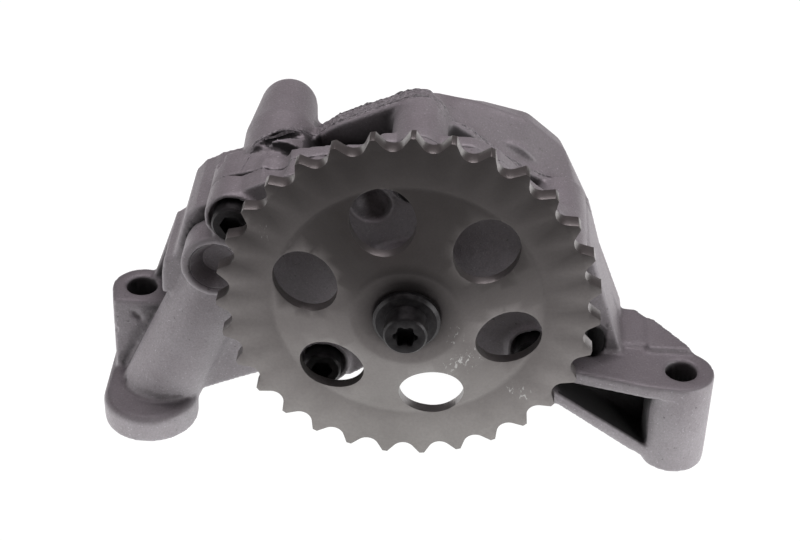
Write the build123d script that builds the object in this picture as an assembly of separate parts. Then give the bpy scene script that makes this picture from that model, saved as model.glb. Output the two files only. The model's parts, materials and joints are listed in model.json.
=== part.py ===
from build123d import *
from math import atan2, cos, pi, radians, sin, sqrt, tan
import os

# A chain-driven engine oil pump with two spur gears, in millimetres.
# X runs from the outlet foot to the right arm, Y from the sprocket to the back of the housing,
# Z up from the mounting faces. The origin lies on the mounting plane, under the drive shaft,
# midway between the front of the sprocket bolt and the suction flange.

# Stations along the shaft
shaft_height = 55.0
joint_y = -9.0
cover_plate = 8.0
joint_flange = 5.0
rear_wall = 7.0
rim_front_y = 9.0
rim_depth = 6.0

# Pumping gears
gear_width = 25.94
end_play = 0.03
gear_teeth = 11
gear_module = 2.25
pressure_angle = 20.0
profile_shift = 0.4
tooth_thinning = 0.1
tip_clearance = 0.08
case_wall = 5.0

# Shafts and bushes
shaft_radius = 7.0
idler_radius = 5.5
bush_wall = 1.5
running_gap = 0.03
idler_seat = 6.5
rear_bush_length = 10.0
rear_boss_wall = 3.0
idler_boss_step = 2.5
rear_rib_width = 3.5
rear_rib_angles = (0.0, 110.0, 180.0, 250.0)
snout_radius = 12.0
snout_length = 11.4

# Sprocket
chain_pitch = 9.525
sprocket_teeth = 31
tooth_height = 1.65
gap_depth = 3.53
gap_radius = 3.2
gap_flank_angle = 40.0
first_gap_angle = 3.13
rim_thickness = 4.2
web_thickness = 3.0
rim_inner_radius = 39.0
dish_outer_radius = 34.5
dish_inner_radius = 14.0
dish_height = 6.0
dish_rounding = 5.0
hub_radius = 12.8
hub_length = 6.0
window_count = 6
window_radius = 8.4
window_circle = 26.8
window_start = 44.9
sprocket_y = -29.0
nose_radius = 6.0
nose_flat = 4.6
nose_short = 0.4

# Sprocket bolt, M8 with a flanged head and a six-lobe recess
bolt_radius = 4.0
bolt_reach = 22.0
bolt_flange_radius = 8.5
bolt_flange_height = 2.0
bolt_head_radius = 5.5
bolt_head_height = 5.5
bolt_recess_radius = 3.2
bolt_recess_depth = 3.6
bolt_hole_extra = 1.0

# Cover screws, M6 by 16 socket heads in spot-faced bosses
screw_radius = 3.0
screw_reach = 16.0
screw_tip_room = 1.0
screw_head_radius = 5.0
screw_head_height = 6.0
screw_key = 5.0
screw_key_depth = 3.2
screw_clearance = 0.3
spot_radius = 5.9
seat_y = -16.0
collar_height = 2.6
boss_radius = 7.2
screw_places = {
    "upper_left": (-45.4, 16.3),
    "top": (0.5, 30.5),
    "upper_right": (37.6, 8.8),
    "lower_right": (33.0, -20.0),
    "lower_left": (-22.3, -28.0),
}
boss_depths = {
    "upper_left": 8.0,
    "top": 22.0,
    "upper_right": 19.5,
    "lower_right": 22.0,
    "lower_left": 22.0,
}

# Dowels across the joint
dowel_radius = 3.0
dowel_length = 12.0
dowel_places = {"left": (-11.0, -25.0), "right": (26.5, 14.0)}

# Mounting lugs, bored for M8 bolts
lug_height = 28.4
lug_bore = 4.25
left_lug = (-75.2, 9.9)
left_lug_radius = 8.2
post_front = (-74.0, -0.8)
post_inner = (-66.2, 9.9)
post_radius = 7.3
right_lug = (72.6, -15.1)
right_lug_radius = 8.8

# Outlet foot and its leaning column
foot_center = (-70.3, -11.0)
foot_radius = 12.9
foot_height = 8.0
foot_chamfer = 1.4
outlet_place = (-69.0, -8.2)
column_foot = (-67.2, -4.8)
column_radius = 10.6
column_lean = 24.5
column_length = 56.0
outlet_radius = 7.0
outlet_depth = 5.0
gallery_radius = 5.0
gallery_place = (-50.0, 1.0)
gallery_boss_radius = 9.2
gallery_boss_y = -19.0
cover_room = 0.3
plug_radius = 7.0
plug_depth = 4.0
plug_sink = 0.6
plug_wall = 1.2

# Oil passages beside the gears
recess_radius = 4.0
recess_reach = 14.5
recess_mouth = 9.0
pressure_depth = 12.0
pressure_width = 6.0
relief_feed_depth = 3.0
relief_feed_width = 3.4
passage_wall = 2.0
inlet_wall = 3.0

# Right arm
arm_plate = 4.0
arm_step = 1.0
arm_back_y = -9.5
arm_front_y = -21.0

# Relief valve in the domed bore
relief_place = (-36.3, 19.3)
relief_bore = 5.0
relief_gap = 0.04
relief_boss_radius = 6.6
relief_boss_depth = 11.5
dome_base_radius = 9.8
dome_radius = 7.9
dome_end_y = 40.7
relief_bore_end_y = 34.0
nose_length = 3.0
piston_nose_radius = 3.0
piston_length = 17.0
piston_crown = 3.0
piston_wall = 1.3
relief_travel = 7.0
spill_radius = 1.5
spill_drop = 1.4
spring_wire_radius = 0.6
spring_radius = 2.9
spring_turns = 5.0
spring_wire_sides = 5

# Suction chamber and the flange at its back
suction_place = (20.0, -2.0)
suction_bore = 11.0
suction_rim = 14.5
suction_face_y = 42.5
suction_flange = 8.0
suction_bore_end_y = 28.5
suction_screw_span = 19.0
suction_screw_angle = -45.0
suction_screw_radius = 2.5
suction_screw_depth = 9.0
suction_ear = 6.4
inlet_place = (22.0, 12.0)
inlet_radius = 8.0
inlet_end_y = 31.0

# Outline of the joint between cover and housing, seen from the front as x and z
joint_rounding = 2.0
joint_points = [
    (-54, 58), (-51, 66), (-50.5, 74), (-44, 78.3), (-37.5, 81.6), (-31, 84.2), (-22, 85.8),
    (-14, 86.5), (-8, 90.5), (14, 90.5), (21, 87), (30, 78), (40, 70.5), (44.5, 64), (41, 32),
    (34, 27), (0, 33), (-15, 22), (-28, 22), (-46, 47),
]

# Outline of the parting flange behind it
rim_rounding = 1.2
rim_points = [
    (-57, 66), (-52.5, 70), (-44, 73), (-30, 77), (-21.5, 83.6), (-13, 87.6), (-3, 92.2), (2, 92.8),
    (8, 86.5), (14, 83), (20.5, 77.7), (26, 73.8), (32, 71), (42, 66.5), (46, 61.5), (48, 52),
    (50, 48), (57.5, 29), (40, 22), (0, 33), (-30, 30), (-60, 40),
]

# Outlines of the webs beside the outlet column, seen from the front
flank_points = [
    (-66.5, 28.4), (-66, 46), (-65.5, 50), (-62.6, 52), (-59.2, 64.5), (-56.5, 67.6),
    (-52, 69.8), (-46, 66), (-44, 40), (-60, 12),
]
foot_web_points = [(-56, 8), (-46, 12.4), (-40, 14.9), (-26, 21), (-20, 32), (-45, 45), (-62, 20)]
rear_web_points = [(-73, 27), (-65.8, 48.1), (-63.5, 49.3), (-58, 44), (-60, 27)]
rear_web_y = (13.5, 17.5)

# Outlines of the right arm: the first and the last two are seen from above, the rest from the front
arm_root_points = [(40, -17.5), (52, -19), (64, -23.4), (66, -5.6), (56, -3), (40, -3)]
arm_rib_points = [(36, 25), (36, 19), (40.3, 19), (65.5, 1.5), (70, 0.6), (70, 5), (66, 5.6)]
arm_wall_points = [(36, 21.2), (66, 1.5), (70, 1.5), (70, 25), (38, 25)]
arm_ridge_points = [(40, 66), (45.5, 63.5), (47.2, 58), (57.5, 27), (50, 27), (40, 50)]
arm_back_points = [(38, 20), (57, 16), (57.5, 29), (50, 48), (46, 61.5), (38, 61.5)]
arm_shelf_points = [(48, -6), (65.4, -6), (65.4, 5.4), (61.5, 10), (48, 11)]
arm_gusset_points = [(64, -8), (76, -8), (74.6, -5.6), (66.2, 5.2), (64, 6)]

# Sections of the suction chamber from the parting flange to the back
chamber_rounding = 3.0
chamber_stations = (13.0, 21.0, 29.0, 34.0)
chamber_sections = [
    [(-6, 88), (2, 92.4), (8, 86.5), (27, 73.4), (42, 66.3), (47, 58), (46, 36), (8, 32), (-8, 55)],
    [(-6, 82), (3, 88.4), (13, 86.6), (29, 81), (39, 72.6), (47, 56), (45, 36), (10, 34), (-6, 52)],
    [(0, 76), (5, 80), (16, 81.8), (28.5, 79), (37.5, 71.5), (46.6, 53), (43, 38), (12, 38), (2, 52)],
    [(4, 68), (8, 73), (16, 75.5), (27, 73.5), (35, 66), (41, 51), (38, 42), (15, 42), (7, 52)],
]

# Parts of a turn about the idler that the two pressure passages take
pressure_sector = [(0, 0), (-40, 2), (-40, -40), (14, -40)]
feed_sector = [(0, 0), (-40, 0), (-40, 40), (-20, 40)]

# Small edges and overlaps
edge_break = 0.5
shaft_chamfer = 0.8
root_overlap = 3.0
bore_relief = 0.5


# Gear geometry worked out from the driving sizes
def involute_of(angle):
    return tan(angle) - angle


def angle_of_involute(value):
    low, high = 0.0, radians(60)
    for _ in range(60):
        middle = (low + high) / 2
        if involute_of(middle) < value:
            low = middle
        else:
            high = middle
    return (low + high) / 2


cutting_angle = radians(pressure_angle)
working_angle = angle_of_involute(
    involute_of(cutting_angle) + 2 * profile_shift * tan(cutting_angle) / gear_teeth
)
base_radius = gear_module * gear_teeth * cos(cutting_angle) / 2
gear_spacing = 2 * base_radius / cos(working_angle)
root_radius = gear_module * (gear_teeth / 2 - 1.25 + profile_shift)
tip_radius = gear_spacing - root_radius - gear_module * 0.25
pocket_radius = tip_radius + tip_clearance
case_radius = pocket_radius + case_wall
idler = (-gear_spacing, 0.0)
bush_radius = shaft_radius + running_gap + bush_wall
idler_bush_radius = idler_radius + running_gap + bush_wall

# Places worked out from the driving sizes
cover_y = joint_y - cover_plate
gear_start_y = joint_y + end_play
gear_end_y = gear_start_y + gear_width
floor_y = gear_end_y + end_play
back_y = floor_y + rear_wall
rim_y = rim_front_y + rim_depth
hub_front_y = sprocket_y - dish_height
hub_rear_y = hub_front_y + hub_length
screw_end_y = seat_y + screw_reach
sprocket_tip = chain_pitch / (2 * sin(pi / sprocket_teeth)) + tooth_height
mesh_x = -gear_spacing / 2


# Helpers that place flat outlines across the shaft axis
def at(place):
    return Pos(place[0], place[1] + shaft_height)


def across(outline, start_y, end_y):
    return extrude(Plane.XZ.offset(-end_y) * outline, amount=end_y - start_y)


def rod(place, radius, start_y, end_y):
    return across(at(place) * Circle(radius), start_y, end_y)


def round_end(place, radius, y):
    return Pos(place[0], y, place[1] + shaft_height) * Sphere(radius)


def upright(place, radius, bottom, top):
    return Pos(place[0], place[1], bottom) * extrude(Circle(radius), amount=top - bottom)


def polygon(points):
    return make_face(Polyline(*points, close=True))


def rounded(points, radius):
    flat = polygon(points)
    return fillet(flat.vertices(), radius)


def hull_of(*shapes):
    return make_hull([edge for shape in shapes for edge in shape.edges()])


def polar(radius, angle):
    return (radius * cos(angle), radius * sin(angle))


def write(name, solid):
    export_step(solid, "parts/" + name + ".step")


# Involute gear whose first tooth stands at the given angle
def involute_gear(place, bore, first_tooth):
    half_tooth = (pi / 2 + 2 * profile_shift * tan(cutting_angle)) / gear_teeth
    half_tooth -= tooth_thinning / (2 * base_radius)
    half_base = half_tooth + involute_of(cutting_angle)
    tip_roll = sqrt((tip_radius / base_radius) ** 2 - 1)
    pitch_step = 2 * pi / gear_teeth
    edges = []
    for tooth in range(gear_teeth):
        middle = first_tooth + pitch_step * tooth
        flank = []
        for step in range(5):
            roll = tip_roll * step / 4
            radius = base_radius * sqrt(1 + roll * roll)
            flank.append((radius, half_base - (roll - atan2(roll, 1))))
        rising = [polar(radius, middle - half) for radius, half in flank]
        falling = [polar(radius, middle + half) for radius, half in reversed(flank)]
        foot_in = polar(root_radius, middle - half_base)
        foot_out = polar(root_radius, middle + half_base)
        next_foot = polar(root_radius, middle + pitch_step - half_base)
        edges += [
            Line(foot_in, rising[0]),
            ThreePointArc(*rising[:3]),
            ThreePointArc(*rising[2:]),
            ThreePointArc(rising[-1], polar(tip_radius, middle), falling[0]),
            ThreePointArc(*falling[:3]),
            ThreePointArc(*falling[2:]),
            Line(falling[-1], foot_out),
            ThreePointArc(foot_out, polar(root_radius, middle + pitch_step / 2), next_foot),
        ]
    return across(at(place) * (make_face(edges) - Circle(bore)), gear_start_y, gear_end_y)


# Shafts and the plain bushes that carry them
def make_drive_shaft():
    body = rod((0, 0), shaft_radius, hub_rear_y, floor_y + rear_bush_length)
    body = chamfer(body.edges().group_by(Axis.Y)[-1], shaft_chamfer)
    nose_y = hub_front_y + nose_short
    nose = across(at((0, 0)) * nose_outline(), nose_y, hub_rear_y)
    hole_end_y = hub_front_y + bolt_reach + bolt_hole_extra
    return body + nose - rod((0, 0), bolt_radius, nose_y, hole_end_y)


def nose_outline():
    flat = Pos(0, nose_flat + nose_radius) * Rectangle(2 * nose_radius, 2 * nose_radius)
    return Circle(nose_radius) - flat


def make_idler_shaft():
    pin = rod(idler, idler_radius, joint_y - idler_seat, floor_y + idler_seat)
    return chamfer(pin.edges().filter_by(GeomType.CIRCLE), edge_break)


def make_bush(place, bore, outer, start_y, end_y):
    return rod(place, outer, start_y, end_y) - rod(place, bore, start_y, end_y)


# Sprocket with a dished web and six round windows
def chain_gap():
    slope = radians(gap_flank_angle)
    gap_center = sprocket_tip - gap_depth + gap_radius
    start_x, start_y = gap_center - gap_radius * sin(slope), gap_radius * cos(slope)
    end_y = start_y + (sprocket_tip - start_x) * tan(slope)
    flanks = polygon([
        (start_x, -start_y), (sprocket_tip, -end_y), (sprocket_tip, end_y), (start_x, start_y),
    ])
    return flanks + Pos(gap_center, 0) * Circle(gap_radius)


def make_sprocket():
    rim_rear_y = sprocket_y + rim_thickness
    web_rear_y = sprocket_y + web_thickness
    dish_rear_y = web_rear_y - dish_height
    section = [
        (0, hub_front_y),
        (dish_inner_radius, hub_front_y),
        (dish_outer_radius, sprocket_y),
        (sprocket_tip, sprocket_y),
        (sprocket_tip, rim_rear_y),
        (rim_inner_radius, rim_rear_y),
        (rim_inner_radius - rim_thickness + web_thickness, web_rear_y),
        (dish_outer_radius, web_rear_y),
        (dish_inner_radius, dish_rear_y),
        (hub_radius, dish_rear_y),
        (hub_radius, hub_rear_y),
        (0, hub_rear_y),
    ]
    profile = polygon(section)
    bends = [profile.vertices().sort_by_distance((*place, 0))[0] for place in section[1:3]]
    blank = revolve(fillet(bends, dish_rounding), Axis.Y)
    turn = 360 / sprocket_teeth
    gaps = [Rot(0, 0, first_gap_angle + turn * n) * chain_gap() for n in range(sprocket_teeth)]
    openings = Sketch() + gaps + nose_outline()
    for n in range(window_count):
        angle = radians(window_start + 360 * n / window_count)
        openings += Pos(*polar(window_circle, angle)) * Circle(window_radius)
    blank -= across(openings, hub_front_y, rim_rear_y)
    return Pos(0, 0, shaft_height) * blank


# Fasteners
def six_lobe(radius):
    lobes = [Rot(0, 0, 60 * n) * Pos(radius * 0.72, 0) * Circle(radius * 0.28) for n in range(6)]
    return Circle(radius * 0.8) + lobes


def make_sprocket_bolt():
    flange_y = hub_front_y - bolt_flange_height
    head_y = flange_y - bolt_head_height
    flange = rod((0, 0), bolt_flange_radius, flange_y, hub_front_y)
    flange = chamfer(flange.edges().group_by(Axis.Y)[0], shaft_chamfer)
    head = rod((0, 0), bolt_head_radius, head_y, flange_y)
    head = chamfer(head.edges().group_by(Axis.Y)[0], edge_break)
    shank = rod((0, 0), bolt_radius, hub_front_y, hub_front_y + bolt_reach)
    recess = across(at((0, 0)) * six_lobe(bolt_recess_radius), head_y, head_y + bolt_recess_depth)
    return flange + head + shank - recess


def make_cover_screw(place):
    head_y = seat_y - screw_head_height
    head = rod(place, screw_head_radius, head_y, seat_y)
    head = chamfer(head.edges().group_by(Axis.Y)[0], edge_break)
    shank = rod(place, screw_radius, seat_y, screw_end_y)
    key = RegularPolygon(screw_key / 2, 6, major_radius=False)
    return head + shank - across(at(place) * key, head_y, head_y + screw_key_depth)


def make_dowel(place):
    pin = rod(place, dowel_radius, joint_y - dowel_length / 2, joint_y + dowel_length / 2)
    return chamfer(pin.edges().filter_by(GeomType.CIRCLE), edge_break)


def make_gallery_plug():
    front_y = gallery_boss_y + plug_sink
    rear_y = gallery_boss_y + plug_depth
    cup = rod(gallery_place, plug_radius, front_y, rear_y)
    return cup - rod(gallery_place, plug_radius - plug_wall, front_y, rear_y - plug_wall)


# Outline shared by the cover and the joint flange of the housing
def joint_outline():
    plate = rounded(joint_points, joint_rounding)
    for place in [*screw_places.values(), gallery_place]:
        plate += at(place) * Circle(boss_radius)
    return plate


# Front cover, which carries the front bush and closes the gear chamber
def make_front_cover():
    body = across(joint_outline(), cover_y, joint_y)
    collar_y = seat_y - collar_height
    body += [rod(place, boss_radius, collar_y, joint_y) for place in screw_places.values()]
    body += rod((0, 0), snout_radius, cover_y - snout_length, cover_y)
    body += rod(gallery_place, gallery_boss_radius, gallery_boss_y, joint_y)
    body -= rod((0, 0), bush_radius, cover_y - snout_length, joint_y)
    body -= rod(idler, idler_radius, joint_y - idler_seat, joint_y)
    for place in screw_places.values():
        body -= rod(place, screw_radius + screw_clearance, collar_y, joint_y)
        body -= rod(place, spot_radius, collar_y, seat_y)
    for place in dowel_places.values():
        body -= rod(place, dowel_radius, joint_y - dowel_length / 2, joint_y)
    body -= rod(gallery_place, gallery_radius, gallery_boss_y, joint_y)
    return body - rod(gallery_place, plug_radius, gallery_boss_y, gallery_boss_y + plug_depth)


# Housing, built up from its walls, bosses and legs
def gear_case():
    both = hull_of(at((0, 0)) * Circle(case_radius), at(idler) * Circle(case_radius))
    return across(both, joint_y, back_y)


def left_wall():
    wall = across(polygon(flank_points), joint_y, rim_y)
    wall += across(polygon(foot_web_points), joint_y, rim_front_y)
    return wall + across(polygon(rear_web_points), *rear_web_y)


def outlet_column():
    lean = radians(column_lean)
    root = (column_foot[0] - root_overlap * tan(lean), column_foot[1], foot_height - root_overlap)
    base = Plane(origin=root, z_dir=(sin(lean), 0, cos(lean)))
    return extrude(base * Circle(column_radius), amount=column_length)


def left_support():
    foot = Pos(*foot_center) * Circle(foot_radius)
    lug = Pos(*left_lug) * Circle(left_lug_radius)
    base = extrude(hull_of(foot, lug), amount=foot_height)
    base = chamfer(base.edges().group_by(Axis.Z)[-1], foot_chamfer)
    front = Pos(*post_front) * Circle(post_radius)
    inner = Pos(*post_inner) * Circle(post_radius)
    post = extrude(hull_of(lug, front, inner), amount=lug_height - foot_height)
    return base + Pos(0, 0, foot_height) * post


def right_arm():
    lug = Pos(*right_lug) * Circle(right_lug_radius)
    plate_z = lug_height - arm_plate
    plate = hull_of(lug, polygon(arm_root_points))
    arm = Pos(0, 0, plate_z) * extrude(plate, amount=arm_plate)
    arm += upright(right_lug, right_lug_radius, 0, plate_z)
    arm += across(polygon(arm_rib_points), arm_front_y, arm_back_y)
    arm += across(polygon(arm_wall_points), arm_back_y, arm_back_y + arm_plate)
    arm += across(polygon(arm_ridge_points), joint_y, rim_front_y)
    arm += across(polygon(arm_back_points), rim_front_y - root_overlap, rim_y)
    bottom = lug_height / 2
    height = bottom + arm_step
    arm += Pos(0, 0, bottom) * extrude(polygon(arm_shelf_points), amount=height)
    return arm + Pos(0, 0, bottom) * extrude(polygon(arm_gusset_points), amount=height + edge_break)


def suction_chamber():
    return loft([
        Plane.XZ.offset(-y) * rounded(points, chamber_rounding)
        for y, points in zip(chamber_stations, chamber_sections)
    ], ruled=True)


def suction_ears():
    turn = radians(suction_screw_angle)
    reach_x, reach_z = polar(suction_screw_span, turn)
    return [(suction_place[0] + side * reach_x, suction_place[1] + side * reach_z) for side in (-1, 1)]


def suction_flange_body():
    ears = [at(place) * Circle(suction_ear) for place in suction_ears()]
    flange = hull_of(at(suction_place) * Circle(suction_rim), *ears)
    throat = rod(suction_place, suction_rim, floor_y, suction_face_y)
    return throat + across(flange, suction_face_y - suction_flange, suction_face_y)


def relief_housing():
    round_y = dome_end_y - dome_radius
    both = hull_of(
        at(screw_places["upper_left"]) * Circle(boss_radius),
        at(relief_place) * Circle(relief_boss_radius),
    )
    wide = Plane.XZ.offset(-(rim_y - edge_break)) * at(relief_place) * Circle(dome_base_radius)
    narrow = Plane.XZ.offset(-round_y) * at(relief_place) * Circle(dome_radius)
    dome = round_end(relief_place, dome_radius, round_y)
    sleeve = rod(relief_place, relief_boss_radius, joint_y, rim_y)
    return across(both, joint_y, joint_y + relief_boss_depth) + sleeve + loft([wide, narrow]) + dome


def rear_bosses():
    bush_end_y = floor_y + rear_bush_length
    bosses = rod((0, 0), bush_radius + rear_boss_wall, floor_y, bush_end_y + root_overlap)
    bosses += rod(idler, idler_radius + rear_boss_wall, floor_y, back_y + idler_boss_step)
    for angle in rear_rib_angles:
        rib = Pos(case_radius / 2, 0) * Rectangle(case_radius, rear_rib_width)
        bosses += across(at(idler) * Rot(0, 0, angle) * rib, floor_y, back_y + idler_boss_step)
    return bosses


def pressure_passages():
    inner = pocket_radius + passage_wall
    main = (Circle(inner + pressure_width) - Circle(inner)) & polygon(pressure_sector)
    feed = (Circle(inner + relief_feed_width) - Circle(inner)) & polygon(feed_sector)
    passages = across(at(idler) * main, joint_y, joint_y + pressure_depth)
    return passages + across(at(idler) * feed, joint_y, joint_y + relief_feed_depth)


def mesh_recess(side):
    mouth = at((mesh_x, side * recess_mouth)) * Circle(recess_radius / 2)
    well = at((mesh_x, side * recess_reach)) * Circle(recess_radius)
    return hull_of(mouth, well)


def suction_passages():
    cross = hull_of(
        at((mesh_x, recess_reach)) * Circle(recess_radius),
        at(inlet_place) * Circle(inlet_radius),
    )
    body = across(mesh_recess(1), joint_y, floor_y) + across(cross, floor_y, back_y)
    body += rod(inlet_place, inlet_radius, back_y, inlet_end_y)
    return body + rod(suction_place, suction_bore, suction_bore_end_y, suction_face_y)


def inlet_shell():
    shell = hull_of(
        at((mesh_x, recess_reach)) * Circle(recess_radius + inlet_wall),
        at(inlet_place) * Circle(inlet_radius + inlet_wall),
    )
    return across(shell, floor_y - inlet_wall, back_y + inlet_wall)


def spill_hole():
    height = shaft_height + relief_place[1] - spill_drop
    spill_y = joint_y + nose_length + relief_travel / 2
    start = Plane(origin=(relief_place[0], spill_y, height), z_dir=(1, 0, 0))
    return extrude(start * Circle(spill_radius), amount=mesh_x - relief_place[0])


def outlet_bore():
    start = Vector(outlet_place[0], outlet_place[1], outlet_depth - gallery_radius / 2)
    end = Vector(gallery_place[0], column_foot[1], shaft_height + gallery_place[1])
    run = Plane(origin=start, z_dir=end - start)
    return extrude(run * Circle(gallery_radius), amount=(end - start).length)


def make_pump_housing():
    body = across(joint_outline(), joint_y, joint_y + joint_flange)
    body += gear_case() + across(rounded(rim_points, rim_rounding), rim_front_y, rim_y)
    for side, place in screw_places.items():
        body += rod(place, boss_radius, joint_y, joint_y + boss_depths[side])
    body += round_end(screw_places["upper_left"], boss_radius, joint_y + boss_depths["upper_left"])
    body += inlet_shell() + suction_chamber() + suction_flange_body() + relief_housing()
    body += rear_bosses()
    body += rod(gallery_place, gallery_boss_radius, joint_y, rim_front_y)
    body += left_wall() + outlet_column() + left_support() + right_arm()
    body -= across(joint_outline(), cover_y - snout_length, joint_y)
    body -= rod(gallery_place, gallery_boss_radius + cover_room, cover_y - snout_length, joint_y)
    body -= rod((0, 0), pocket_radius, joint_y, floor_y)
    body -= rod(idler, pocket_radius, joint_y, floor_y)
    body -= rod((0, 0), bush_radius, floor_y, floor_y + rear_bush_length + bore_relief)
    body -= rod(idler, idler_radius, floor_y, floor_y + idler_seat)
    for place in screw_places.values():
        body -= rod(place, screw_radius, joint_y, screw_end_y + screw_tip_room)
    for place in dowel_places.values():
        body -= rod(place, dowel_radius, joint_y, joint_y + dowel_length / 2)
    body -= rod(relief_place, relief_bore, joint_y, relief_bore_end_y)
    body -= pressure_passages() + across(mesh_recess(-1), joint_y, joint_y + pressure_depth)
    body -= suction_passages()
    body -= spill_hole()
    body -= rod(gallery_place, gallery_radius, joint_y, column_foot[1] + gallery_radius)
    body -= upright(outlet_place, outlet_radius, 0, outlet_depth)
    body -= outlet_bore()
    for place in suction_ears():
        start_y = suction_face_y - suction_screw_depth
        body -= rod(place, suction_screw_radius, start_y, suction_face_y)
    for place in (left_lug, right_lug):
        body -= upright(place, lug_bore, 0, lug_height)
    return body


# Relief valve
def make_relief_piston():
    radius = relief_bore - relief_gap
    shoulder_y = joint_y + nose_length
    end_y = joint_y + piston_length
    piston = rod(relief_place, piston_nose_radius, joint_y, shoulder_y)
    piston += rod(relief_place, radius, shoulder_y, end_y)
    return piston - rod(relief_place, radius - piston_wall, shoulder_y + piston_crown, end_y)


def make_relief_spring():
    start_y = joint_y + nose_length + piston_crown + spring_wire_radius
    height = relief_bore_end_y - spring_wire_radius - start_y
    coil = Helix(height / spring_turns, height, spring_radius)
    wire = Plane(origin=coil @ 0, z_dir=coil % 0) * RegularPolygon(spring_wire_radius, spring_wire_sides)
    place = Pos(relief_place[0], start_y, shaft_height + relief_place[1])
    return place * Rot(-90, 0, 0) * sweep(wire, path=coil)


os.makedirs("parts", exist_ok=True)
write("pump_housing", make_pump_housing())
write("front_cover", make_front_cover())
write("drive_gear", involute_gear((0, 0), shaft_radius, pi))
write("driven_gear", involute_gear(idler, idler_bush_radius, pi / gear_teeth))
write("drive_shaft", make_drive_shaft())
write("idler_shaft", make_idler_shaft())
shaft_bore = shaft_radius + running_gap
write("front_shaft_bush", make_bush(
    (0, 0), shaft_bore, bush_radius, cover_y - snout_length, joint_y))
write("rear_shaft_bush", make_bush(
    (0, 0), shaft_bore, bush_radius, floor_y, floor_y + rear_bush_length))
write("idler_gear_bush", make_bush(
    idler, idler_radius + running_gap, idler_bush_radius, gear_start_y, gear_end_y))
write("sprocket", make_sprocket())
write("sprocket_bolt", make_sprocket_bolt())
for side, place in screw_places.items():
    write("cover_screw_" + side, make_cover_screw(place))
for side, place in dowel_places.items():
    write("cover_dowel_" + side, make_dowel(place))
write("gallery_plug", make_gallery_plug())
write("relief_piston", make_relief_piston())
write("relief_spring", make_relief_spring())
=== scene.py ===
# %% [markdown]
# # A chain-driven engine oil pump
#
# The pump hangs under an engine. A chain turns the dished sprocket, the sprocket turns two gears
# inside the casting, and the oil leaves through the wide foot on the left.
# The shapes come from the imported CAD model, which is loaded as a fixed frame.
# Blender adds what the CAD model leaves plain: soft cast edges, torn flash, wear and metal finishes.

import json
from math import cos, pi, radians, sin, sqrt

import bmesh
import bpy
from mathutils import Matrix, Vector, noise
from mathutils.bvhtree import BVHTree


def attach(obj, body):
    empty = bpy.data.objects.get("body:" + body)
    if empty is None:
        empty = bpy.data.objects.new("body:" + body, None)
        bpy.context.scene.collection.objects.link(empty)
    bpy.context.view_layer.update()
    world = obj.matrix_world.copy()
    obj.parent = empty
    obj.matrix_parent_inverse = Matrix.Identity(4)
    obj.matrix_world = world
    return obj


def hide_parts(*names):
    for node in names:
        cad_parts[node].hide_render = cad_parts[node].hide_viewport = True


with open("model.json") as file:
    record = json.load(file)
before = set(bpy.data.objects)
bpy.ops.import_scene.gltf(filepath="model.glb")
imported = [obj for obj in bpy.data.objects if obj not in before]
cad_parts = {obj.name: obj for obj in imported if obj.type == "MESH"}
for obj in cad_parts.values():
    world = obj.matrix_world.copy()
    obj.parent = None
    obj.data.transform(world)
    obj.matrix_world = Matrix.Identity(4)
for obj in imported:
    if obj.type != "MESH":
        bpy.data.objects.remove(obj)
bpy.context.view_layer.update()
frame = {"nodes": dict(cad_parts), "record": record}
nodes_by_name = frame["nodes"]


def limits(node, axis):
    """Lowest and highest coordinate of a CAD node along one axis."""
    values = [vertex.co[axis] for vertex in nodes_by_name[node].data.vertices]
    return min(values), max(values)


along_x, along_y, along_z = 0, 1, 2
joint_y = limits("pump_housing", along_y)[0]
sprocket_front_y = limits("sprocket", along_y)[0]
print("CAD nodes:", len(nodes_by_name))

# %% [markdown]
# ## Camera
#
# The photograph was taken from a little above, with a long lens. Where each visible hole and edge
# falls in the picture gives the place of the lens, so the camera is set by three angles and a point.

# %% Camera
camera_place = (0.01208, -0.41909, 0.34019)
camera_angles = (54.845, -1.570, 3.215)
lens_length = 86.3

camera = bpy.data.objects.new("camera", bpy.data.cameras.new("camera"))
bpy.context.scene.collection.objects.link(camera)
camera.location = camera_place
camera.rotation_euler = [radians(angle) for angle in camera_angles]
camera.data.lens = lens_length
camera.data.clip_start = 0.01
bpy.context.scene.camera = camera

# %% [markdown]
# ## Node helpers
#
# A finish is a small network of nodes. These helpers add one node each, so that a finish reads
# from top to bottom as a recipe: coordinates, patterns, colours, then the shader.


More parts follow.
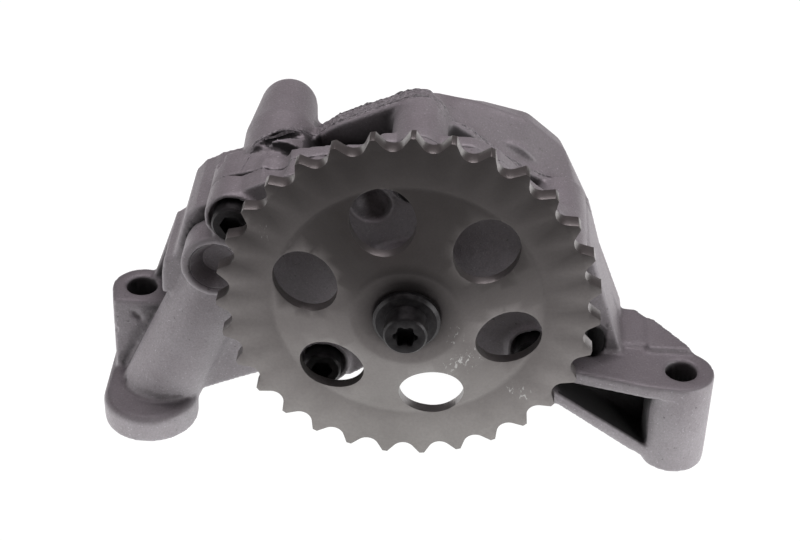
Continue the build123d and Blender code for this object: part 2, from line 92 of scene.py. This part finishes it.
# %% Node helpers
class Finish:
    """One material and its node tree, with short ways to add and join nodes."""

    def __init__(self, name):
        self.material = bpy.data.materials.new(name)
        self.material.use_nodes = True
        self.nodes = self.material.node_tree.nodes
        self.links = self.material.node_tree.links
        self.shader = self.nodes["Principled BSDF"]
        self.place = self.nodes.new("ShaderNodeTexCoord").outputs["Object"]

    def join(self, source, socket):
        if isinstance(source, (int, float, tuple)):
            socket.default_value = source
        else:
            self.links.new(source, socket)

    def noise(self, scale, detail=2.0, rough=0.5, stretch=None, twist=0.0):
        node = self.nodes.new("ShaderNodeTexNoise")
        node.inputs["Scale"].default_value = scale
        node.inputs["Detail"].default_value = detail
        node.inputs["Roughness"].default_value = rough
        node.inputs["Distortion"].default_value = twist
        source = self.place
        if stretch:
            mapping = self.nodes.new("ShaderNodeMapping")
            mapping.inputs["Scale"].default_value = stretch
            self.links.new(self.place, mapping.inputs["Vector"])
            source = mapping.outputs["Vector"]
        self.links.new(source, node.inputs["Vector"])
        return node.outputs["Fac"]

    def fade(self, value, low, high, start=0.0, end=1.0):
        node = self.nodes.new("ShaderNodeMapRange")
        for socket, number in zip(node.inputs[1:5], (low, high, start, end)):
            socket.default_value = number
        self.join(value, node.inputs["Value"])
        return node.outputs["Result"]

    def math(self, kind, first, second=0.5):
        node = self.nodes.new("ShaderNodeMath")
        node.operation = kind
        self.join(first, node.inputs[0])
        self.join(second, node.inputs[1])
        return node.outputs["Value"]

    def axis(self, source, name):
        node = self.nodes.new("ShaderNodeSeparateXYZ")
        self.links.new(source, node.inputs[0])
        return node.outputs[name]

    def stored(self, name):
        node = self.nodes.new("ShaderNodeAttribute")
        node.attribute_name = name
        return node.outputs["Fac"]

    def nearness(self, place, reach):
        """1 at a place, falling to 0 at the reach."""
        node = self.nodes.new("ShaderNodeVectorMath")
        node.operation = "DISTANCE"
        self.links.new(self.place, node.inputs[0])
        node.inputs[1].default_value = place
        return self.fade(node.outputs["Value"], 0.0, reach, 1.0, 0.0)

    def mix(self, share, first, second):
        node = self.nodes.new("ShaderNodeMix")
        node.data_type = "RGBA"
        self.join(share, node.inputs["Factor"])
        self.join(first, node.inputs[6])
        self.join(second, node.inputs[7])
        return node.outputs[2]

    def over(self, colour, tint, share, strength):
        """A tint laid over a colour, as strongly as the share and the strength say."""
        return self.mix(self.math("MULTIPLY", share, strength), colour, tint)

    def mix_value(self, share, first, second):
        node = self.nodes.new("ShaderNodeMix")
        self.join(share, node.inputs["Factor"])
        self.join(first, node.inputs[2])
        self.join(second, node.inputs[3])
        return node.outputs[0]

    def bump(self, height, distance, strength, below=None):
        node = self.nodes.new("ShaderNodeBump")
        node.inputs["Distance"].default_value = distance
        node.inputs["Strength"].default_value = strength
        self.links.new(height, node.inputs["Height"])
        if below:
            self.links.new(below, node.inputs["Normal"])
        return node.outputs["Normal"]

    def finish(self, colour, rough, normal=None, metal=0.0):
        self.join(colour, self.shader.inputs["Base Color"])
        self.join(rough, self.shader.inputs["Roughness"])
        self.shader.inputs["Metallic"].default_value = metal
        if normal:
            self.links.new(normal, self.shader.inputs["Normal"])
        return self.material


def grey(red, green, blue):
    return (red, green, blue, 1.0)


# %% [markdown]
# ## Cast alloy
#
# The casting is shot-blasted aluminium that has dulled to a mauve grey. Up close it is grainy,
# with paler rubbed corners, darker pits, and faint blotches where oil has dried.
# Edges are found with Geometry's Pointiness, which works here because the cast pieces are dense.
# Inner corners found so are darkened as painted shade.
# The joint with the cover shows as a thin dark line above the lugs, and the lowest faces that look up
# are darkened as painted shade, where the pump's body shades them.

# %% Cast alloy
joint_line_width = (0.00010, 0.00026)
joint_line_bottom = (0.030, 0.032)
# Painted shade on faces that look up: full below the second height, none above the first.
low_top_shade_heights = (0.045, 0.025)


def cast_alloy():
    finish = Finish("cast alloy")
    surface = finish.nodes.new("ShaderNodeNewGeometry").outputs
    height = finish.axis(finish.place, "Z")

    blotches = finish.fade(finish.noise(70, 4, 0.6), 0.35, 0.68)
    grain = finish.noise(1900, 3, 0.65)
    specks = finish.fade(finish.noise(1700, 2, 0.5), 0.64, 0.74)
    pits = finish.fade(finish.noise(620, 3, 0.6), 0.68, 0.73)
    colour = finish.mix(blotches, grey(0.245, 0.226, 0.240), grey(0.300, 0.284, 0.298))
    colour = finish.mix(finish.fade(grain, 0.3, 0.7, 0.0, 0.4), colour, grey(0.17, 0.158, 0.165))
    colour = finish.over(colour, grey(0.50, 0.49, 0.51), specks, 0.45)
    colour = finish.over(colour, grey(0.07, 0.065, 0.07), pits, 0.6)

    edges = surface["Pointiness"]
    rubbed = finish.math("MULTIPLY", finish.fade(edges, 0.52, 0.60), finish.fade(grain, 0.3, 0.6))
    colour = finish.over(colour, grey(0.46, 0.45, 0.47), rubbed, 0.6)
    # Painted shade: inner corners are darkened.
    crease_shade = finish.fade(edges, 0.41, 0.485, 0.75, 0.0)
    colour = finish.mix(crease_shade, colour, grey(0.09, 0.08, 0.085))

    torn = finish.stored("torn")
    crumbs = finish.fade(finish.noise(1100, 4, 0.7), 0.4, 0.6)
    crumbled = finish.mix(crumbs, grey(0.15, 0.142, 0.15), grey(0.40, 0.385, 0.40))
    colour = finish.over(colour, crumbled, torn, 0.6)

    off_joint = finish.math("SUBTRACT", finish.axis(finish.place, "Y"), joint_y)
    line = finish.fade(finish.math("ABSOLUTE", off_joint), *joint_line_width, 0.7, 0.0)
    line = finish.math("MULTIPLY", line, finish.fade(height, *joint_line_bottom))
    colour = finish.mix(line, colour, grey(0.02, 0.02, 0.02))

    # Painted shade: faces that look up are darker low down, where the pump's body shades them.
    facing_up = finish.fade(finish.axis(surface["Normal"], "Z"), 0.5, 0.9)
    low_top_shade = finish.math("MULTIPLY", facing_up, finish.fade(height, *low_top_shade_heights))
    colour = finish.over(colour, grey(0.07, 0.062, 0.067), low_top_shade, 0.5)
    # Painted shade: walled-in hollows are darkened nearly to black, and the same share makes them
    # rougher.
    hollow_shade = finish.fade(finish.stored("shade_in_hollows"), 0.17, 0.60, 0.0, 0.93)
    colour = finish.mix(hollow_shade, colour, grey(0.012, 0.012, 0.012))

    rough = finish.fade(grain, 0.3, 0.7, 0.48, 0.68)
    rough = finish.mix_value(hollow_shade, rough, 0.8)
    coarse = finish.bump(finish.noise(420, 3, 0.6), 0.0004, 0.35)
    coarse = finish.bump(finish.math("MULTIPLY", crumbs, torn), 0.0004, 0.6, coarse)
    normal = finish.bump(grain, 0.00012, 0.6, coarse)
    return finish.finish(colour, rough, normal, 0.35)


alloy = cast_alloy()

# %% [markdown]
# ## Steel finishes
#
# The sprocket is sintered and phosphated: a smooth, greenish dark grey with a satin sheen, a fine
# mottling and a few scratches. The bolt and the cover screws are blackened. The parts inside are
# ground or sintered bright steel, and the bushes are bronze.

# %% Sprocket steel
shaft_axis_height = 0.055
# Where the darker halo round the bolt is centred, and how far it reaches.
darkening_above_axis = 0.003
darkening_reach = 0.0135
# Each scuff is a place on the sprocket's front, then how far the mark reaches around it.
scuffs = [
    (0.0134, -0.0325, 0.0401, 0.006), (0.0163, -0.0325, 0.0438, 0.005), (0.0105, -0.0310, 0.0348, 0.005),
    (0.0122, -0.0335, 0.0507, 0.004), (0.0294, -0.0290, 0.0290, 0.004), (-0.0361, -0.0290, 0.0748, 0.003),
]


def sprocket_steel():
    finish = Finish("sprocket steel")
    clouds = finish.fade(finish.noise(45, 4, 0.55), 0.35, 0.65)
    mottle = finish.noise(1500, 3, 0.7)
    colour = finish.mix(clouds, grey(0.158, 0.148, 0.143), grey(0.197, 0.186, 0.180))
    colour = finish.mix(finish.fade(mottle, 0.35, 0.7, 0.0, 0.25), colour, grey(0.11, 0.104, 0.1))
    rubs = finish.noise(1000, 3, 0.6, (1.0, 1.0, 0.45), 1.2)
    for x, y, z, reach in scuffs:
        near = finish.nearness((x, y, z), reach)
        mark = finish.fade(finish.math("ADD", rubs, finish.math("MULTIPLY", near, 0.10)), 0.66, 0.70)
        mark = finish.math("MULTIPLY", mark, finish.fade(near, 0.0, 0.3, 0.0, 0.7))
        colour = finish.mix(mark, colour, grey(0.42, 0.42, 0.41))
    # The sprocket's front is darker round the bolt, in a halo centred a little above the axis.
    hub_darkening = finish.nearness((0.0, sprocket_front_y, shaft_axis_height + darkening_above_axis), darkening_reach)
    colour = finish.mix(finish.fade(hub_darkening, 0.0, 0.4, 0.0, 0.85), colour, grey(0.02, 0.017, 0.017))
    rough = finish.fade(mottle, 0.3, 0.7, 0.30, 0.40)
    normal = finish.bump(mottle, 0.00005, 0.4)
    return finish.finish(colour, rough, normal, 0.75)


# %% Other metals
def plain_metal(name, dark, light, rough, metal, scale=600):
    finish = Finish(name)
    pattern = finish.noise(scale, 3, 0.6)
    colour = finish.mix(finish.fade(pattern, 0.35, 0.65), dark, light)
    rough = finish.fade(pattern, 0.3, 0.7, rough - 0.06, rough + 0.06)
    return finish.finish(colour, rough, finish.bump(pattern, 0.00005, 0.3), metal)


finishes = {
    "cast_alloy": alloy,
    "sprocket_steel": sprocket_steel(),
    "black_steel": plain_metal(
        "blackened steel", grey(0.012, 0.011, 0.012), grey(0.028, 0.027, 0.028), 0.42, 0.6),
    "gear_steel": plain_metal(
        "sintered steel", grey(0.34, 0.34, 0.35), grey(0.44, 0.44, 0.45), 0.35, 0.9),
    "shaft_steel": plain_metal(
        "ground steel", grey(0.5, 0.5, 0.51), grey(0.58, 0.58, 0.6), 0.22, 1.0, 300),
    "bearing_bronze": plain_metal(
        "bearing bronze", grey(0.42, 0.27, 0.12), grey(0.52, 0.36, 0.17), 0.32, 1.0, 400),
    "plug_steel": plain_metal(
        "pressed steel", grey(0.22, 0.21, 0.22), grey(0.3, 0.29, 0.3), 0.5, 0.6),
    "spring_steel": plain_metal(
        "drawn steel", grey(0.3, 0.3, 0.31), grey(0.4, 0.4, 0.41), 0.3, 1.0, 500),
}
for part in frame["record"]["subparts"]:
    piece = nodes_by_name[part["node"]]
    piece.data.materials.clear()
    piece.data.materials.append(finishes[part["material_slot"]])
print("finishes:", len(finishes))

# %% [markdown]
# ## Soft cast edges
#
# Molten alloy can't fill a sharp corner, so every edge and every inner corner of a real casting is
# rounded. Bevelling each edge of such a body by hand would take hours. Instead a copy of the CAD
# mesh is welded, remeshed into small even cells and smoothed a little, which rounds ridges and
# valleys alike, as the mould does.
# Forms that the CAD model leaves plain are cut away or joined on before the remesh, so that they
# get the same soft edges: the leaning front of the left lug, the dome's wide end with its groove,
# a few notches, and the hollows over the bosses and beside the right ridge.

# %% Mesh helpers
weld_distance = 0.000004
soften_factor = 0.5
region_passes = 14


def form_from(shape, name):
    """A piece made of what a bmesh holds."""
    mesh = bpy.data.meshes.new(name)
    shape.to_mesh(mesh)
    shape.free()
    piece = bpy.data.objects.new(name, mesh)
    bpy.context.scene.collection.objects.link(piece)
    return piece


def welded_copy(node, name):
    mesh = nodes_by_name[node].data.copy()
    mesh.name = name
    shape = bmesh.new()
    shape.from_mesh(mesh)
    bmesh.ops.remove_doubles(shape, verts=shape.verts, dist=weld_distance)
    shape.to_mesh(mesh)
    shape.free()
    piece = bpy.data.objects.new(name, mesh)
    bpy.context.scene.collection.objects.link(piece)
    return piece


def settle(piece):
    """Makes what the modifiers give the piece's own mesh."""
    bpy.context.view_layer.update()
    seen = piece.evaluated_get(bpy.context.evaluated_depsgraph_get())
    mesh = bpy.data.meshes.new_from_object(seen)
    mesh.name = piece.name
    piece.modifiers.clear()
    piece.data = mesh
    mesh.shade_smooth()


def combine(piece, operation, tool):
    change = piece.modifiers.new("form", "BOOLEAN")
    change.operation = operation
    change.object = tool


def soften(piece, passes, group=""):
    smooth = piece.modifiers.new("soften", "SMOOTH")
    smooth.factor = soften_factor
    smooth.iterations = passes
    smooth.vertex_group = group


def inside(place, low, high):
    return all(low[n] < place[n] < high[n] for n in range(3))


def store(mesh, name, values):
    """Keeps one number for every point, which a finish reads by this name."""
    mesh.attributes.new(name, "FLOAT", "POINT").data.foreach_set("value", values)


def hand_over(piece, body, node):
    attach(piece, body)
    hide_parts(node)
    print(piece.name, "faces", len(piece.data.polygons))


# %% Form tools
def pebble(place, half_sizes, turn=0, axis="Y"):
    """A rounded tool that hollows a casting, as the mould's cores do."""
    shape = bmesh.new()
    rotation = Matrix.Rotation(radians(turn), 3, axis)
    bmesh.ops.create_uvsphere(shape, u_segments=32, v_segments=16, radius=1.0)
    bmesh.ops.scale(shape, vec=half_sizes, verts=shape.verts)
    bmesh.ops.rotate(shape, cent=(0, 0, 0), matrix=rotation, verts=shape.verts)
    bmesh.ops.translate(shape, vec=place, verts=shape.verts)
    return form_from(shape, "pebble")


def post(start, end, start_radius, end_radius):
    """A round post from one point to another."""
    shape = bmesh.new()
    along = Vector(end) - Vector(start)
    middle = Matrix.Translation((Vector(start) + Vector(end)) / 2)
    bmesh.ops.create_cone(
        shape, cap_ends=True, segments=96, radius1=start_radius, radius2=end_radius, depth=along.length,
        matrix=middle @ along.to_track_quat("Z", "Y").to_matrix().to_4x4())
    return form_from(shape, "post")


def block_beside(low, high, lean, spared):
    """A box whose top leans to the rear and that leaves another form out, for a cut beside it."""
    shape = bmesh.new()
    bmesh.ops.create_cube(shape, size=1.0)
    bmesh.ops.scale(shape, vec=Vector(high) - Vector(low), verts=shape.verts)
    bmesh.ops.translate(shape, vec=(Vector(low) + Vector(high)) / 2, verts=shape.verts)
    top = [corner for corner in shape.verts if corner.co.z > low[2]]
    bmesh.ops.translate(shape, vec=(0, lean, 0), verts=top)
    piece = form_from(shape, "block")
    combine(piece, "DIFFERENCE", spared)
    settle(piece)
    bpy.data.objects.remove(spared)
    return piece


# %% Soft casting
def smooth_regions(piece, regions):
    """Smooths the points inside a few boxes again, where the CAD facets would show."""
    group = piece.vertex_groups.new(name="smoother")
    chosen = [
        vertex.index for vertex in piece.data.vertices
        if any(inside(vertex.co, low, high) for low, high in regions)
    ]
    group.add(chosen, 1.0, "REPLACE")
    soften(piece, region_passes, group.name)
    settle(piece)


def soft_casting(node, name, cell, passes, forms, kept=1.0, smoother=()):
    """A CAD casting with its added forms, in small even cells and with soft edges."""
    piece = welded_copy(node, name)
    for operation, tool in forms:
        combine(piece, operation, tool)
    remesh = piece.modifiers.new("cells", "REMESH")
    remesh.mode = "VOXEL"
    remesh.voxel_size = cell
    soften(piece, passes)
    if kept < 1.0:
        piece.modifiers.new("fewer faces", "DECIMATE").ratio = kept
    settle(piece)
    for operation, tool in forms:
        bpy.data.objects.remove(tool)
    if smoother:
        smooth_regions(piece, smoother)
    piece.data.materials.clear()
    piece.data.materials.append(alloy)
    hand_over(piece, "casting", node)
    return piece


# %% Places of the added forms
face_behind_screw_front = 0.005
cover_face_y = limits("cover_screw_top", along_y)[0] + face_behind_screw_front

lug_front_low = (-0.092, -0.026, 0.0083)
lug_front_high = (-0.058, -0.0020, 0.0400)
lug_front_lean = 0.0068
column_start = (-0.0686, -0.0048, 0.0050)
column_end = (-0.0453, -0.0048, 0.0560)
column_radius = 0.0106
dome_front = (-0.0363, -0.0002, 0.0743)
dome_rear = (-0.0363, 0.0148, 0.0743)
dome_front_radius, dome_rear_radius = 0.0094, 0.0098

# Each pebble is its middle and its half sizes, then how far and about which axis it is turned.
valley = ((-0.0358, -0.0090, 0.0838), (0.0042, 0.0110, 0.0034))
lug_side_notch = ((-0.0824, 0.0006, 0.0195), (0.0020, 0.0016, 0.0010))
lug_top_notch = ((-0.0755, 0.0015, 0.0240), (0.0026, 0.0009, 0.0008), 40)
flank_notch = ((-0.0508, 0.0010, 0.0757), (0.0018, 0.0032, 0.0013))
ridge_recess = ((0.0485, -0.0040, 0.0310), (0.0042, 0.0080, 0.0065))
dome_groove = ((-0.0345, 0.0036, 0.0835), (0.0092, 0.0016, 0.0030), 33, "Z")
window_pocket = ((-0.0105, cover_face_y, 0.0765), (0.0052, 0.0050, 0.0050), 15)

# Boxes around the left foot, the right foot, the suction chamber and the dome.
faceted = [
    ((-0.1, -0.03, -0.001), (-0.045, 0.03, 0.0045)),
    ((0.055, -0.03, -0.001), (0.1, 0.03, 0.0045)),
    ((-0.008, 0.0165, 0.030), (0.050, 0.1, 0.1)),
    ((-0.060, 0.0165, 0.060), (-0.024, 0.1, 0.1)),
]

# %% The two castings
housing_cell, cover_cell = 0.00062, 0.0006
soft_passes = 3
housing_faces_kept = 0.56
lug_front = block_beside(
    lug_front_low, lug_front_high, lug_front_lean,
    post(column_start, column_end, column_radius, column_radius))
housing_forms = [
    ("DIFFERENCE", lug_front),
    ("DIFFERENCE", pebble(*valley)),
    ("DIFFERENCE", pebble(*lug_side_notch)),
    ("DIFFERENCE", pebble(*lug_top_notch)),
    ("DIFFERENCE", pebble(*flank_notch)),
    ("DIFFERENCE", pebble(*ridge_recess)),
    ("UNION", post(dome_front, dome_rear, dome_front_radius, dome_rear_radius)),
    ("DIFFERENCE", pebble(*dome_groove)),
]
cover_forms = [
    ("DIFFERENCE", pebble(*valley)),
    ("DIFFERENCE", pebble(*window_pocket)),
]
housing = soft_casting(
    "pump_housing", "housing_casting", housing_cell, soft_passes, housing_forms,
    housing_faces_kept, faceted)
cover = soft_casting("front_cover", "cover_casting", cover_cell, soft_passes, cover_forms)

# %% [markdown]
# ## Torn flash
#
# Where the two halves of the mould met, a ragged skin of alloy was squeezed out and only partly
# broken off. It runs along the top of the rear flange, slants forward across the dome's wide end,
# and a short seam of it is left before the dome. Rays sent down onto the castings find that edge,
# the points close to it are roughened, and a thin jagged fin is laid along it.

# %% Rim of the rear flange
flash_start_x, flash_dome_x, flash_turn_x, flash_end_x = -0.0425, -0.0265, 0.004, 0.047
flash_front_y, flash_rear_y = 0.0108, 0.0146
flash_step = 0.0005
flash_height = 0.0005
flash_root = 0.0004
flash_thickness = 0.0003
lowest_tooth = 0.12
seam_start, seam_end = (-0.0445, -0.0088), (-0.0425, 0.0002)
seam_steps = 24
seam_height = 0.0003
rough_ahead = 0.0008
rough_width = 0.0020
rough_depth = 0.0016
crumple = 0.0002
ray_start_z = 0.2


def tree_of(pieces):
    points, faces = [], []
    for piece in pieces:
        first = len(points)
        points += [vertex.co.copy() for vertex in piece.data.vertices]
        faces += [[first + corner for corner in face.vertices] for face in piece.data.polygons]
    return BVHTree.FromPolygons(points, faces)


castings = tree_of([housing, cover])


def front_line_y(x):
    """The flash keeps to the rim and slants forward where it crosses the dome."""
    across_dome = (flash_dome_x - x) / (flash_dome_x - flash_start_x)
    return flash_front_y * (1 - max(0.0, across_dome))


def along_seam(n):
    """The place of one step on the straight seam before the dome."""
    return [start + (end - start) * n / seam_steps for start, end in zip(seam_start, seam_end)]


def edge_below(places):
    """Points on the top of the castings, found by rays from above."""
    hits = [castings.ray_cast(Vector((x, y, ray_start_z)), Vector((0, 0, -1)))[0] for x, y in places]
    return [hit for hit in hits if hit]


def steps(start, end):
    return [start + flash_step * n for n in range(int((end - start) / flash_step))]


def roughen_rim(piece, edge):
    """Marks and crumples the points that lie close to the flash."""
    heights = {round(point.x / flash_step): point.z for point in edge}
    torn = [0.0] * len(piece.data.vertices)
    for vertex in piece.data.vertices:
        top = heights.get(round(vertex.co.x / flash_step))
        first_y = front_line_y(vertex.co.x) - rough_ahead
        on_rim = flash_dome_x < vertex.co.x < flash_turn_x
        last_y = flash_rear_y if on_rim else first_y + rough_width
        if top is None or not first_y < vertex.co.y < last_y or abs(vertex.co.z - top) > rough_depth:
            continue
        wave = noise.noise(vertex.co * 900) + 0.6 * noise.noise(vertex.co * 2000)
        vertex.co += vertex.normal * crumple * wave
        torn[vertex.index] = 1.0
    store(piece.data, "torn", torn)


def jagged_fin(name, edge, side, height):
    """A thin three-sided strip along an edge, whose tip rises and falls."""
    fin = bmesh.new()
    rings = []
    for point in edge:
        ragged = 0.5 + noise.noise(point * 420) + 0.7 * noise.noise(point * 1500)
        root = point - Vector((0, 0, flash_root))
        tip = point + Vector((0, 0, height * max(lowest_tooth, ragged)))
        rings.append([fin.verts.new(place) for place in (root - side, tip, root + side)])
    for near, far in zip(rings, rings[1:]):
        for n in range(3):
            fin.faces.new((near[n], near[(n + 1) % 3], far[(n + 1) % 3], far[n]))
    fin.faces.new(rings[0][::-1])
    fin.faces.new(rings[-1])
    bmesh.ops.recalc_face_normals(fin, faces=fin.faces)
    piece = form_from(fin, name)
    piece.data.materials.append(alloy)
    store(piece.data, "torn", [1.0] * len(piece.data.vertices))
    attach(piece, "casting")


front_edge = edge_below([(x, front_line_y(x)) for x in steps(flash_start_x, flash_end_x)])
rear_edge = edge_below([(x, flash_rear_y) for x in steps(flash_dome_x, flash_turn_x)])
seam_edge = edge_below([along_seam(n) for n in range(seam_steps + 1)])
jagged_fin("flash_front", front_edge, Vector((0, flash_thickness, 0)), flash_height)
jagged_fin("flash_rear", rear_edge, Vector((0, flash_thickness, 0)), flash_height)
jagged_fin("flash_seam", seam_edge, Vector((flash_thickness, 0, 0)), seam_height)
roughen_rim(housing, front_edge)

# %% [markdown]
# ## Painted shade in the hollows
#
# The deep pockets of the castings are darkened nearly to black, as painted shade. Rays sent out
# from every point tell how walled in it is, and the answer is stored on the mesh, where the finish
# reads it.

# %% Hollows
ray_count = 22
ray_reach = 0.030
ray_lift = 0.0006
least_share = 0.1
walled_enough = 0.12
# The cover's hollows get a smaller share of the painted shade.
cover_shade_share = 0.55
golden_turn = pi * (3 - sqrt(5))
# Each recess is a box, from low to high, and the painted shade that is added inside it.
painted_dark_recesses = [
    ((0.0405, -0.0200, 0.0030), (0.0655, -0.0020, 0.0240), 0.30),
    ((0.0440, -0.0090, 0.0240), (0.0530, 0.0080, 0.0380), 0.25),
    ((-0.0450, -0.0020, 0.0770), (-0.0255, 0.0100, 0.0838), 0.30),
]


def ray_directions():
    """Directions spread evenly over a sphere, along a spiral."""
    directions = []
    for n in range(ray_count):
        height = 1 - (2 * n + 1) / ray_count
        ring = sqrt(1 - height * height)
        directions.append(Vector((ring * cos(golden_turn * n), ring * sin(golden_turn * n), height)))
    return directions


def extra_painted_shade(place):
    for low, high, extra in painted_dark_recesses:
        if inside(place, low, high):
            return extra
    return 0.0


# Painted shade: how walled in each point is, plus the painted dark recesses, stored for the finish.
def paint_shade_in_hollows(piece, share_kept=1.0):
    directions = ray_directions()
    values = []
    for vertex in piece.data.vertices:
        normal = vertex.normal
        start = vertex.co + normal * ray_lift
        met = total = 0.0
        for direction in directions:
            share = direction.dot(normal)
            if share > least_share:
                total += share
                distance = castings.ray_cast(start, direction, ray_reach)[3]
                if distance is not None:
                    met += share * (1 - distance / ray_reach)
        walled = met / total
        values.append(walled * share_kept + (extra_painted_shade(vertex.co) if walled > walled_enough else 0.0))
    store(piece.data, "shade_in_hollows", values)


paint_shade_in_hollows(housing)
paint_shade_in_hollows(cover, cover_shade_share)

# %% [markdown]
# ## Gallery cup
#
# The round boss at the left is closed by a pressed cup that tapers inwards. It is turned from a
# short outline, like a bowl on a lathe.

# %% Gallery cup
cup_rim_wall = 0.0002
cup_lip = 0.0003
cup_throat = 0.0048
cup_wall = 0.0008
cup_middle_rise = 0.0004
cup_extra_depth = 0.0012
cup_segments = 48


def turned(name, outline, axis_x, axis_z):
    """A piece turned about an axis that runs from front to rear."""
    shape = bmesh.new()
    points = [shape.verts.new((axis_x + radius, y, axis_z)) for radius, y in outline]
    lines = [shape.edges.new(pair) for pair in zip(points, points[1:])]
    bmesh.ops.spin(
        shape, geom=points + lines, cent=(axis_x, 0, axis_z), axis=(0, 1, 0), angle=2 * pi,
        steps=cup_segments, use_merge=True)
    bmesh.ops.remove_doubles(shape, verts=shape.verts, dist=0.00001)
    bmesh.ops.recalc_face_normals(shape, faces=shape.faces)
    piece = form_from(shape, name)
    piece.data.shade_smooth()
    piece.data.set_sharp_from_angle(angle=radians(40))
    return piece


plug_x = sum(limits("gallery_plug", along_x)) / 2
plug_z = sum(limits("gallery_plug", along_z)) / 2
plug_radius = limits("gallery_plug", along_x)[1] - plug_x
plug_front, plug_rear = limits("gallery_plug", along_y)
cup_end = plug_rear + cup_extra_depth
cup = turned("gallery_cup", [
    (0.0, cup_end), (cup_throat, cup_end), (cup_throat, plug_rear), (plug_radius, plug_rear),
    (plug_radius, plug_front + cup_rim_wall), (plug_radius - cup_rim_wall, plug_front),
    (plug_radius - 2 * cup_rim_wall, plug_front + cup_lip), (cup_throat - cup_wall, cup_end - cup_wall),
    (0.0, cup_end - cup_middle_rise),
], plug_x, plug_z)
cup.data.materials.append(alloy)
hand_over(cup, "casting", "gallery_plug")

# %% [markdown]
# ## Sprocket edges
#
# Pressing and tumbling leave a narrow bright break on every edge of the sprocket and the bolt.
# The CAD mesh is welded and each sharp edge is bevelled.

# %% Broken edges
sprocket_edge_break = 0.0002
bolt_edge_break = 0.00015


def broken_edges(node, name, body, width):
    piece = welded_copy(node, name)
    bevel = piece.modifiers.new("edges", "BEVEL")
    bevel.width = width
    bevel.segments = 2
    bevel.limit_method = "ANGLE"
    bevel.angle_limit = radians(35)
    settle(piece)
    piece.data.set_sharp_from_angle(angle=radians(25))
    hand_over(piece, body, node)


broken_edges("sprocket", "sprocket_plate", "drive", sprocket_edge_break)
broken_edges("sprocket_bolt", "bolt_head", "drive", bolt_edge_break)

# %% [markdown]
# ## Floor, light and background
#
# The pump stands on a white table that glows back at it, so the faces near the table are the
# brightest and the top of the sprocket is the darkest. The glow is strongest in a strip under and
# before the pump and fades to the front. A wide lamp overhead is the ceiling's softbox, two smaller
# ones light the sides, and the background is white for the camera.

# %% Floor
table_half_size = 3.0
table_drop = 0.0002
table_near_y, table_far_y = -0.045, -0.19
table_glow = 0.8
strip_glow = 0.45
strip_front_y = (-0.056, -0.040)
strip_rear_y = (0.010, -0.005)
camera_white = 0.9


def floor_finish():
    finish = Finish("white table")
    path = finish.nodes.new("ShaderNodeLightPath")
    glow = finish.nodes.new("ShaderNodeEmission")
    blend = finish.nodes.new("ShaderNodeMixShader")
    place_y = finish.axis(finish.place, "Y")
    near = finish.fade(place_y, table_far_y, table_near_y)
    white = finish.mix(near, grey(0.11, 0.11, 0.11), grey(0.9, 0.9, 0.9))
    finish.join(white, finish.shader.inputs["Base Color"])
    falling = finish.math("MULTIPLY", finish.math("POWER", near, 2.0), table_glow)
    strip = finish.math(
        "MULTIPLY", finish.fade(place_y, *strip_front_y), finish.fade(place_y, *strip_rear_y))
    glowing = finish.math("ADD", falling, finish.math("MULTIPLY", strip, strip_glow))
    finish.join(glowing, finish.shader.inputs["Emission Strength"])
    finish.shader.inputs["Emission Color"].default_value = grey(0.98, 1, 0.99)
    finish.shader.inputs["Roughness"].default_value = 0.9
    seen = finish.math("MAXIMUM", path.outputs["Is Camera Ray"], path.outputs["Is Transmission Ray"])
    share = finish.math("MULTIPLY", seen, camera_white)
    finish.links.new(share, blend.inputs[0])
    finish.links.new(finish.shader.outputs[0], blend.inputs[1])
    finish.links.new(glow.outputs[0], blend.inputs[2])
    finish.links.new(blend.outputs[0], finish.nodes["Material Output"].inputs["Surface"])
    return finish.material


table = bmesh.new()
bmesh.ops.create_grid(table, x_segments=1, y_segments=1, size=table_half_size)
floor = form_from(table, "table")
floor.location.z = -table_drop
floor.data.materials.append(floor_finish())


# %% Lamps
def softbox(name, place, target, size, watts, colour=(1, 1, 1)):
    lamp = bpy.data.lights.new(name, "AREA")
    lamp.shape = "RECTANGLE"
    lamp.size, lamp.size_y = size
    lamp.energy = watts
    lamp.color = colour
    piece = bpy.data.objects.new(name, lamp)
    piece.location = place
    piece.rotation_euler = (Vector(target) - Vector(place)).to_track_quat("-Z", "Y").to_euler()
    piece.visible_camera = False
    bpy.context.scene.collection.objects.link(piece)


softbox("overhead", (0.0, 0.15, 0.9), (0.0, 0.0, 0.05), (0.7, 0.7), 6.0, (1.0, 0.93, 0.98))
softbox("right side", (0.7, -0.35, 0.12), (0.0, 0.0, 0.03), (0.5, 0.25), 3.0)
softbox("left side", (-0.7, -0.35, 0.12), (0.0, 0.0, 0.03), (0.5, 0.25), 1.2)

# %% World
room_level, backdrop_level = 0.10, 1.0
room_tint, backdrop_white = grey(1, 0.86, 0.87), grey(1, 1, 1)

world = bpy.data.worlds.new("studio")
bpy.context.scene.world = world
world.use_nodes = True
sky = world.node_tree
backdrop = sky.nodes["Background"]
rays = sky.nodes.new("ShaderNodeLightPath")
seen = sky.nodes.new("ShaderNodeMath")
seen.operation = "MAXIMUM"
sky.links.new(rays.outputs["Is Camera Ray"], seen.inputs[0])
sky.links.new(rays.outputs["Is Transmission Ray"], seen.inputs[1])
tint = sky.nodes.new("ShaderNodeMix")
tint.data_type = "RGBA"
tint.inputs[6].default_value = room_tint
tint.inputs[7].default_value = backdrop_white
sky.links.new(seen.outputs[0], tint.inputs["Factor"])
sky.links.new(tint.outputs[2], backdrop.inputs["Color"])
level = sky.nodes.new("ShaderNodeMapRange")
level.inputs["To Min"].default_value = room_level
level.inputs["To Max"].default_value = backdrop_level
sky.links.new(seen.outputs[0], level.inputs["Value"])
sky.links.new(level.outputs[0], backdrop.inputs["Strength"])
bpy.context.scene.view_settings.view_transform = "Standard"
